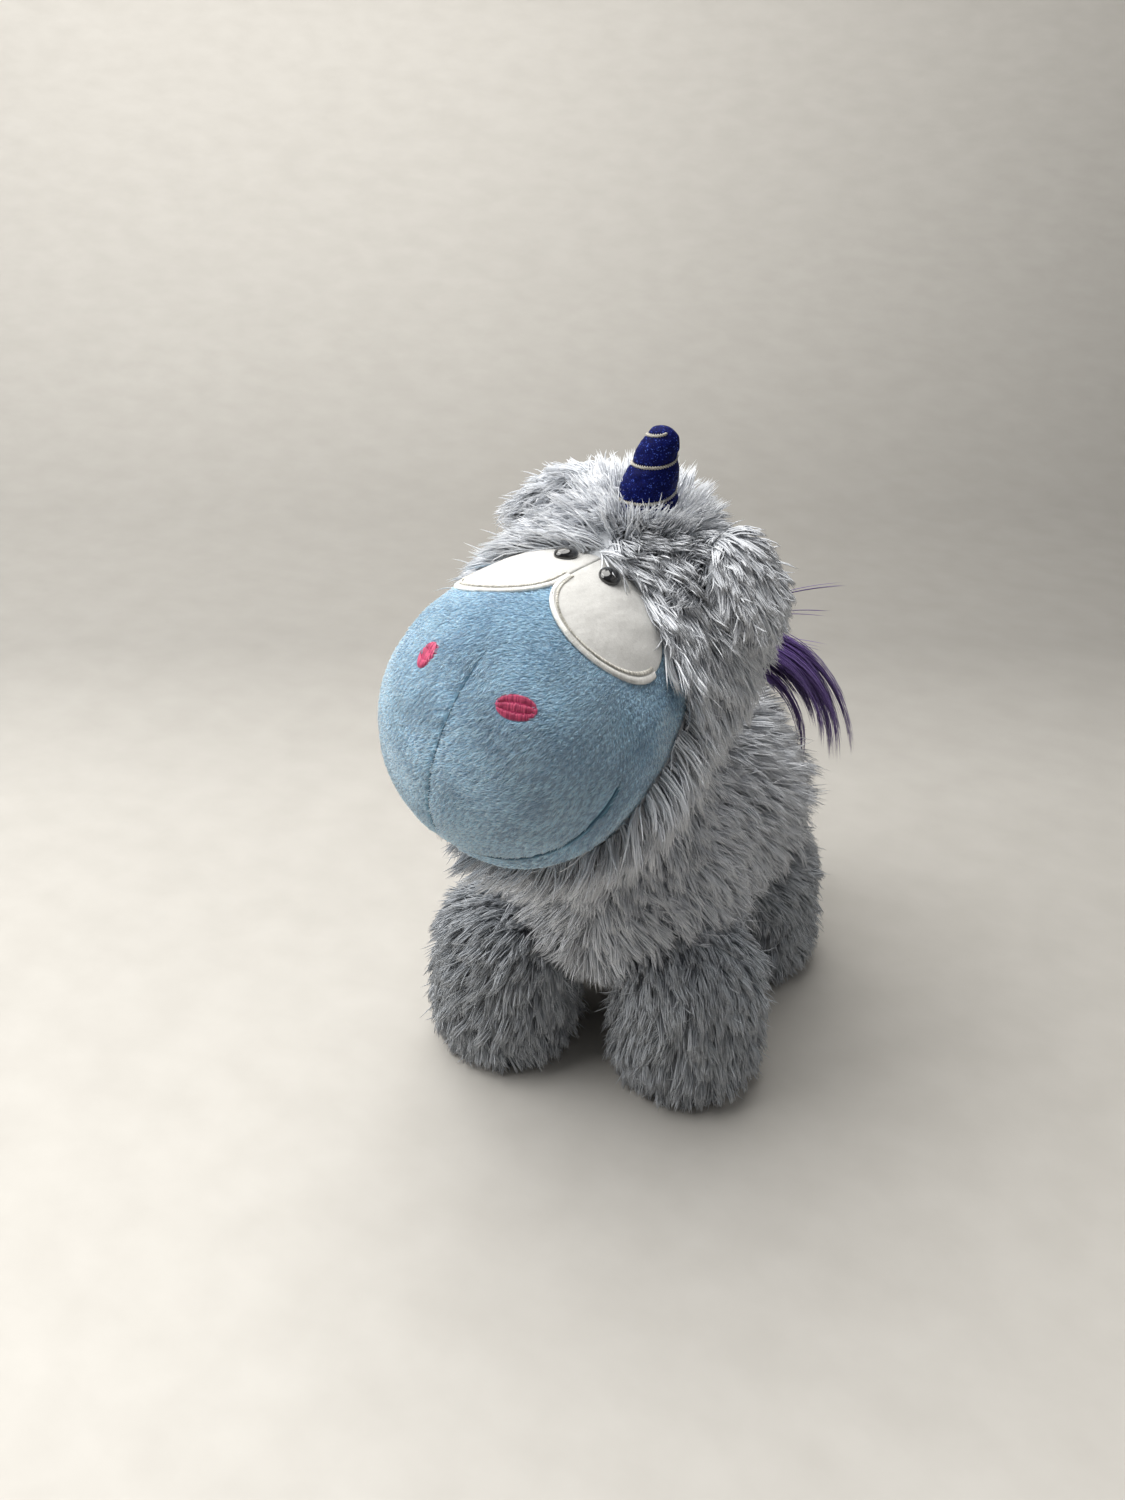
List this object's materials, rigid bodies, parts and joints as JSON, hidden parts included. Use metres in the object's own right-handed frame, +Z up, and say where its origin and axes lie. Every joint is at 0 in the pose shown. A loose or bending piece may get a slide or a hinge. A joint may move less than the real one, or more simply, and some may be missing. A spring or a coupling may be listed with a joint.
{
  "type": "plush unicorn",
  "caption": "Standing plush unicorn with a big round muzzle, soft flexing horn, floppy ears, stubby legs and a long-haired tail on soft sewn joints.",
  "frame": {"origin": "on the floor, under the middle of the object's box", "axes": "+Z up, the animal faces -Y, its own left side is +X; the head rests turned 17 degrees to its right"},
  "size_m": [0.1392, 0.1883, 0.2525],
  "materials": {
    "polyester_fill": "loose white fibre",
    "pellet_bag_cloth": "plain weave",
    "muzzle_minky": "short brushed pile",
    "chin_minky": "short brushed pile",
    "eye_felt": "pressed felt",
    "eye_satin": "satin stitch thread",
    "bead": "polished",
    "washer_plastic": "matt",
    "nostril_satin": "satin stitch thread",
    "horn_cloth": "glitter weave",
    "silver_cord": "metallic twist",
    "tail_hair": "long straight fibre",
    "ear_lining": "long shaggy pile",
    "sole_fur": "long shaggy pile",
    "leg_fur": "long shaggy pile",
    "body_fur": "long shaggy pile"
  },
  "bodies": {
    "torso": {"torso_cover_left": "body_fur", "torso_cover_right": "body_fur", "belly_panel": "body_fur", "torso_stuffing": "polyester_fill", "pellet_bag": "pellet_bag_cloth"},
    "neck": {"neck_cover": "body_fur", "neck_stuffing": "polyester_fill"},
    "head": {"head_cover_left": "body_fur", "head_cover_right": "body_fur", "muzzle_cover_left": "muzzle_minky", "muzzle_cover_right": "muzzle_minky", "chin_panel": "chin_minky", "head_stuffing": "polyester_fill", "eye_patch_left": "eye_felt", "eye_patch_right": "eye_felt", "eye_trim_left": "eye_satin", "eye_trim_right": "eye_satin", "pupil_left": "bead", "pupil_right": "bead", "eye_washer_left": "washer_plastic", "eye_washer_right": "washer_plastic", "nostril_left": "nostril_satin", "nostril_right": "nostril_satin"},
    "horn": {"horn_cover": "horn_cloth", "horn_stuffing": "polyester_fill", "horn_cord": "silver_cord"},
    "ear_left": {"ear_left_fur": "body_fur", "ear_left_lining": "ear_lining"},
    "ear_right": {"ear_right_fur": "body_fur", "ear_right_lining": "ear_lining"},
    "leg_front_left": {"leg_front_left_cover": "leg_fur", "leg_front_left_sole": "sole_fur", "leg_front_left_stuffing": "polyester_fill"},
    "leg_front_right": {"leg_front_right_cover": "leg_fur", "leg_front_right_sole": "sole_fur", "leg_front_right_stuffing": "polyester_fill"},
    "leg_hind_left": {"leg_hind_left_cover": "leg_fur", "leg_hind_left_sole": "sole_fur", "leg_hind_left_stuffing": "polyester_fill"},
    "leg_hind_right": {"leg_hind_right_cover": "leg_fur", "leg_hind_right_sole": "sole_fur", "leg_hind_right_stuffing": "polyester_fill"},
    "tail": {"tail_root": "body_fur", "tail_hair": "tail_hair"}
  },
  "joints": [
    {"name": "head_turn", "type": "hinge", "parent": "torso", "child": "neck", "pos_m": [-0.0006, 0.0001, 0.104], "axis": [0, 0, 1], "range_deg": [-30, 30], "stiffness_Nm_per_rad": 1.2},
    {"name": "head_nod", "type": "hinge", "parent": "neck", "child": "head", "pos_m": [-0.0006, 0.0001, 0.18], "axis": [0.9563, -0.2924, 0], "range_deg": [-12, 12], "stiffness_Nm_per_rad": 2.5},
    {"name": "horn_flex", "type": "hinge", "parent": "head", "child": "horn", "pos_m": [0.00573, -0.00288, 0.22375], "axis": [0.9563, -0.2924, 0], "range_deg": [-10, 10], "stiffness_Nm_per_rad": 0.06},
    {"name": "ear_left_flop", "type": "hinge", "parent": "head", "child": "ear_left", "pos_m": [0.03053, -0.00484, 0.22261], "axis": [-0.223, -0.9735, 0.05], "range_deg": [-2, 30], "stiffness_Nm_per_rad": 0.06},
    {"name": "ear_right_flop", "type": "hinge", "parent": "head", "child": "ear_right", "pos_m": [-0.01512, 0.00911, 0.23017], "axis": [0.3414, 0.9373, -0.0696], "range_deg": [-2, 30], "stiffness_Nm_per_rad": 0.06},
    {"name": "leg_front_left_swing", "type": "hinge", "parent": "torso", "child": "leg_front_left", "pos_m": [0.0354, -0.0189, 0.046], "axis": [1, 0, 0], "range_deg": [-12, 12], "stiffness_Nm_per_rad": 1.5},
    {"name": "leg_front_right_swing", "type": "hinge", "parent": "torso", "child": "leg_front_right", "pos_m": [-0.0376, -0.0259, 0.046], "axis": [1, 0, 0], "range_deg": [-12, 12], "stiffness_Nm_per_rad": 1.5},
    {"name": "leg_hind_left_swing", "type": "hinge", "parent": "torso", "child": "leg_hind_left", "pos_m": [0.0434, 0.0521, 0.046], "axis": [1, 0, 0], "range_deg": [-12, 12], "stiffness_Nm_per_rad": 1.5},
    {"name": "leg_hind_right_swing", "type": "hinge", "parent": "torso", "child": "leg_hind_right", "pos_m": [-0.0446, 0.0521, 0.046], "axis": [1, 0, 0], "range_deg": [-12, 12], "stiffness_Nm_per_rad": 1.5},
    {"name": "tail_swing", "type": "hinge", "parent": "torso", "child": "tail", "pos_m": [-0.0006, 0.06939, 0.12445], "axis": [0, 0.4695, 0.8829], "range_deg": [-15, 60], "stiffness_Nm_per_rad": 0.1}
  ]
}
